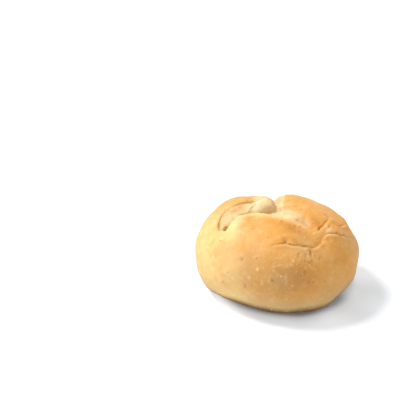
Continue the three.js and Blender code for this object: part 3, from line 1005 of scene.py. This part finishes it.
# How far the painted shade in a crease is broken up by noise: the noise's size and span, and the shares of
# the dark
BROKEN_SIZE, BROKEN_SPAN, BROKEN_SHARES = 2.6, (0.35, 0.62), (0.35, 0.85)
# Fine bump: size of the grain, and how much the grain, the raised dots and the dark dots count
GRAIN_SIZE, GRAIN_RELIEF, RAISED_RELIEF, DARK_DOT_RELIEF = 1.1, 0.8, 0.7, 0.6


def flecks(n, size_mm, radius_mm, share):
    """1 inside small dots, one in some of the cells."""
    node = n.join(n.add("ShaderNodeTexVoronoi"), Vector=n.place, Scale=1 / (size_mm * MM))
    core, edge = DOT_CORE * radius_mm / size_mm, radius_mm / size_mm
    dot = n.span(node.outputs["Distance"], core, edge, 1.0, 0.0)
    chosen = n.math("LESS_THAN", node.outputs["Color"], share)
    return n.math("MULTIPLY", dot, chosen)


def wrinkles(n, size_mm, width, patch_mm):
    """1 on thin wandering lines that come and go."""
    lines = n.noise(size_mm, detail=2.5, roughness=0.45)
    off = n.math("ABSOLUTE", n.math("SUBTRACT", lines, 0.5))
    line = n.span(off, 0.0, width, 1.0, 0.0)
    return n.math("MULTIPLY", line, n.span(n.noise(patch_mm, detail=1), *WRINKLE_PLACES))


def crust_material():
    n = Nodes("roll_crust")
    mottle = n.noise(MOTTLE_SIZE, detail=5)
    # The browning attribute also carries painted light: paler crust on the left flank and a few lit places
    browning = n.mask("browning")
    for noise_here, change in ((n.noise(BLOTCH_SIZE), BLOTCH_BROWNING), (mottle, MOTTLE_BROWNING)):
        browning = n.math("ADD", browning, n.span(noise_here, *NOISE_SPAN, -change, change))
    crust = PALE_CRUST
    for low, high, browner in BROWNING_COLOURS:
        crust = n.mix(n.span(browning, low, high, kind="LINEAR"), crust, browner)
    crust = n.mix(n.mask("tan"), crust, TAN_CRUST)
    crust = n.mix(n.mask("low"), crust, LOW_CRUST)
    # A dark band at the foot: partly browned bottom crust, partly painted shade where the crust curves under
    # toward the floor
    crust = n.mix(n.span(n.mask("height"), *BASE_HEIGHTS, BASE_SHARE, 0.0), crust, BASE_BROWN_AND_SHADE)
    # The dough's darker colour is partly toasting and partly painted shade
    toast_and_shade = n.math("ADD", n.mask("toast_and_shade"), n.span(mottle, *NOISE_SPAN, *MOTTLE_TOAST), clamp=True)
    colour = n.mix(n.mask("torn"), crust, n.mix(toast_and_shade, DOUGH, DOUGH_TOASTED_AND_SHADED))

    pale_dots = n.math("MAXIMUM", *(flecks(n, *row) for row in PALE_DOTS))
    dark_dots = n.math("MAXIMUM", flecks(n, *DARK_DOTS), n.mask("pit"))
    lines = n.math("MAXIMUM", *(wrinkles(n, *row) for row in WRINKLES))
    fine_lines = n.math("MULTIPLY", wrinkles(n, *FINE_WRINKLES), n.mask("lined"))
    lines = n.math("MULTIPLY", lines, WRINKLE_SHARE)
    lines = n.math("MAXIMUM", lines, n.math("MULTIPLY", fine_lines, FINE_WRINKLE_SHARE))
    crust_share = n.math("SUBTRACT", 1.0, n.mask("torn"))
    raised = n.math("MULTIPLY", n.math("MAXIMUM", pale_dots, lines), crust_share)
    broken = n.span(n.noise(BROKEN_SIZE, detail=2), *BROKEN_SPAN, *BROKEN_SHARES)
    # Columns: where it is, how strong, colour
    for cover, strength, tint in (
        (raised, 0.42, SPECK_PALE),
        (n.mask("blister"), 0.12, SPECK_PALE),
        (n.mask("pale"), 0.45, SPECK_PALE),
        (dark_dots, 0.45, SPECK_DARK),
        # painted shade: at the bottom of the creases, then in the gap under the fold
        (n.mask("crease"), broken, CREASE_SHADE),
        (n.mask("gap"), 0.7, CREASE_SHADE),
        (n.mask("dark"), 0.7, MARK_DARK),
    ):
        colour = n.mix(n.math("MULTIPLY", cover, strength), colour, tint)
    n.join(n.shader, Base_Color=colour)

    rough = n.span(mottle, *NOISE_SPAN, *MOTTLE_ROUGHNESS)
    rough = n.math("ADD", rough, n.math("MULTIPLY", n.mask("torn"), DOUGH_ROUGHER))
    n.join(n.shader, Roughness=rough, Specular_IOR_Level=0.15)
    n.join(n.shader, Subsurface_Weight=0.12, Subsurface_Radius=(1.0, 0.5, 0.2), Subsurface_Scale=0.0025)

    grain = n.math("MULTIPLY", n.noise(GRAIN_SIZE, detail=4), GRAIN_RELIEF)
    grain = n.math("ADD", grain, n.math("MULTIPLY", raised, RAISED_RELIEF))
    grain = n.math("SUBTRACT", grain, n.math("MULTIPLY", dark_dots, DARK_DOT_RELIEF))
    bump = n.join(n.add("ShaderNodeBump"), Strength=0.7, Distance=0.0004, Height=grain)
    n.join(n.shader, Normal=bump.outputs["Normal"])
    return n.material


def make_roll():
    cad_middle = np.array([(a + b) / 2 for a, b in zip(*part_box("roll"))])
    mesh, shift = roll_mesh(cad_middle)
    roll = bpy.data.objects.new("roll_crust", mesh)
    bpy.context.scene.collection.objects.link(roll)
    mesh.materials.append(crust_material())
    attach(roll, "root")
    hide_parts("roll")
    return shift


# The floor: its size in metres, its colour, its glow, which is painted light from a floor that is no lamp,
# and how much less it glows farther out
FLOOR_SIZE = 4.0
FLOOR_COLOUR = (0.69, 0.715, 0.74, 1)
FLOOR_GLOW = 0.30
FAR_GLOW_LOSS = 0.15
# The floor round the foot: the middle it is measured from in millimetres, where the painted shadow at the
# foot, floor left without glow, ends and where the floor farther out loses some of its painted light, both as
# shares of the dome's outline
FOOT_MIDDLE = (4.2, 1.8)
FOOT_SHADE = (0.76, 0.93)
FARTHER_OUT = (0.93, 1.5)
# Painted light on the floor at the left: its place and radius in millimetres and its strength, the middle its
# edge is measured from, and where that edge begins and ends, as shares of the dome's outline
LEFT_PLACE, LEFT_RADIUS, LEFT_GLOW = (-32, -26), 30, 0.38
LEFT_MIDDLE = (20.0, 0.0)
LEFT_EDGE = (1.08, 1.28)
# Broad places of painted shadow and painted light on the floor, in millimetres. Columns: x, y, amount, radius
GLOW_PATCHES = [
    (52, -8, -0.12, 18),
    (42, -26, -0.12, 18),
    (38, -7, 0.13, 10),
    (13, -31, -0.09, 13),
]
# Lamps. Columns: name, direction, distance and size in metres, power
LAMPS = [
    ("key", Vector((-0.50, 0.18, 0.84)), 1.0, 0.26, 8.0),
    ("fill", Vector((-0.80, -0.50, 0.30)), 1.2, 0.80, 2.4),
]
SKY = 0.92
SKY_COLOUR = (0.975, 0.985, 0.995, 1)


def share_out(n, middle):
    """How far out a place on the floor is, as a share of the dome's outline round a middle."""
    oval = n.add("ShaderNodeMapping", vector_type="TEXTURE")
    n.join(oval, Vector=n.place, Location=(middle[0] * MM, middle[1] * MM, 0))
    n.join(oval, Rotation=(0, 0, TURN), Scale=(LENGTH / 2 * MM, WIDTH / 2 * MM, 1))
    length = n.add("ShaderNodeVectorMath", operation="LENGTH")
    return n.join(length, i0=oval.outputs["Vector"]).outputs["Value"]


def distance_from(n, x, y):
    """How far a place on the floor is from another."""
    node = n.add("ShaderNodeVectorMath", operation="DISTANCE")
    return n.join(node, i0=n.place, i1=(x * MM, y * MM, 0)).outputs["Value"]


def make_floor():
    mesh = bpy.data.meshes.new("floor")
    half = FLOOR_SIZE / 2
    corners = [(-half, -half, 0), (half, -half, 0), (half, half, 0), (-half, half, 0)]
    mesh.from_pydata(corners, [], [(0, 1, 2, 3)])
    n = Nodes("floor")
    n.join(n.shader, Base_Color=FLOOR_COLOUR, Roughness=0.9, Specular_IOR_Level=0.1)
    # The glow paints light and shadow on the floor: none at the foot, more at the left, less in some patches
    out = share_out(n, FOOT_MIDDLE)
    glow = n.span(out, *FOOT_SHADE, 0.0, FLOOR_GLOW)
    glow = n.math("SUBTRACT", glow, n.span(out, *FARTHER_OUT, 0.0, FAR_GLOW_LOSS))
    at_left = n.span(distance_from(n, *LEFT_PLACE), 0.0, LEFT_RADIUS * MM, LEFT_GLOW, 0.0)
    glow = n.math("ADD", glow, n.math("MULTIPLY", at_left, n.span(share_out(n, LEFT_MIDDLE), *LEFT_EDGE)))
    for x, y, amount, radius in GLOW_PATCHES:
        glow = n.math("ADD", glow, n.span(distance_from(n, x, y), 0.0, radius * MM, amount, 0.0))
    n.join(n.shader, Emission_Color=(1, 1, 1, 1), Emission_Strength=n.math("MAXIMUM", glow, 0.0))
    mesh.materials.append(n.material)
    floor = bpy.data.objects.new("floor", mesh)
    bpy.context.scene.collection.objects.link(floor)


def make_light():
    for name, direction, distance, size, power in LAMPS:
        light = bpy.data.lights.new(name, "AREA")
        light.shape = "DISK"
        light.size = size
        light.energy = power
        lamp = bpy.data.objects.new(name, light)
        lamp.location = direction.normalized() * distance
        lamp.rotation_euler = direction.to_track_quat("Z", "Y").to_euler()
        bpy.context.scene.collection.objects.link(lamp)
    world = bpy.data.worlds.new("studio")
    world.use_nodes = True
    background = world.node_tree.nodes["Background"]
    background.inputs["Color"].default_value = SKY_COLOUR
    background.inputs["Strength"].default_value = SKY
    bpy.context.scene.world = world


def make_camera(shift):
    """The photograph's view: the lens and the height of the eye come from the roll's outline in it."""
    right_share, down_share = ((at - PHOTO_SIZE / 2) / FOCAL_PX for at in AIM_PX)
    pitch = VIEW_DOWN - math.atan(down_share)
    forward = Vector((0, math.cos(pitch), -math.sin(pitch)))
    right = Vector((1, 0, 0))
    up = right.cross(forward)
    reach = FOCAL_PX / PX_PER_MM * MM
    eye = Vector(AIM_MM) * MM + Vector(shift) - (forward + right_share * right - down_share * up) * reach
    data = bpy.data.cameras.new("camera")
    data.sensor_width = SENSOR_MM
    data.lens = FOCAL_PX / PHOTO_SIZE * SENSOR_MM
    camera = bpy.data.objects.new("camera", data)
    turn = Matrix((right, up, -forward)).transposed().to_4x4()
    camera.matrix_world = Matrix.Translation(eye) @ turn
    bpy.context.scene.collection.objects.link(camera)
    bpy.context.scene.camera = camera


make_camera(make_roll())
make_floor()
make_light()
bpy.context.scene.view_settings.view_transform = "Standard"
